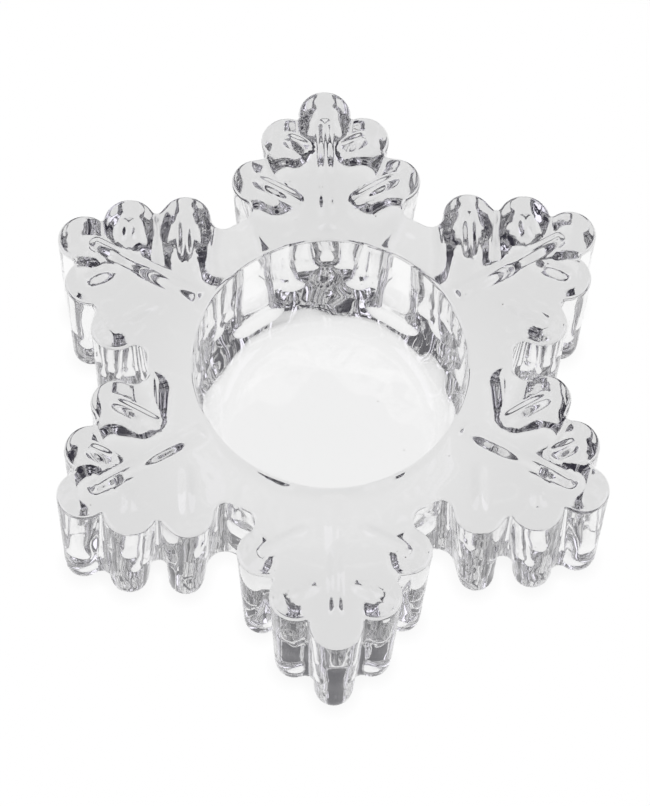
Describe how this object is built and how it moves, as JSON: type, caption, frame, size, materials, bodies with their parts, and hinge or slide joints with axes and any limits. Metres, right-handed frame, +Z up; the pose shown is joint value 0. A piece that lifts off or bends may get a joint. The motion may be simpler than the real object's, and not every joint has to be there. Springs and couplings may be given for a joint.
{
  "type": "glass candle holder",
  "caption": "Clear pressed-glass candle holder shaped like a snowflake, with lobed arms, fluted sides, a flat top with low raised veins and a round bowl-like well that seats a tealight.",
  "frame": {"origin": "middle of the flat base, on the axis of the candle well", "axes": "+Z up along the well's axis, +Y along one arm"},
  "size_m": [0.0994, 0.1134, 0.031],
  "materials": {
    "clear_glass": "fire-polished, clear"
  },
  "bodies": {
    "root": {"glass_body": "clear_glass"}
  },
  "joints": []
}
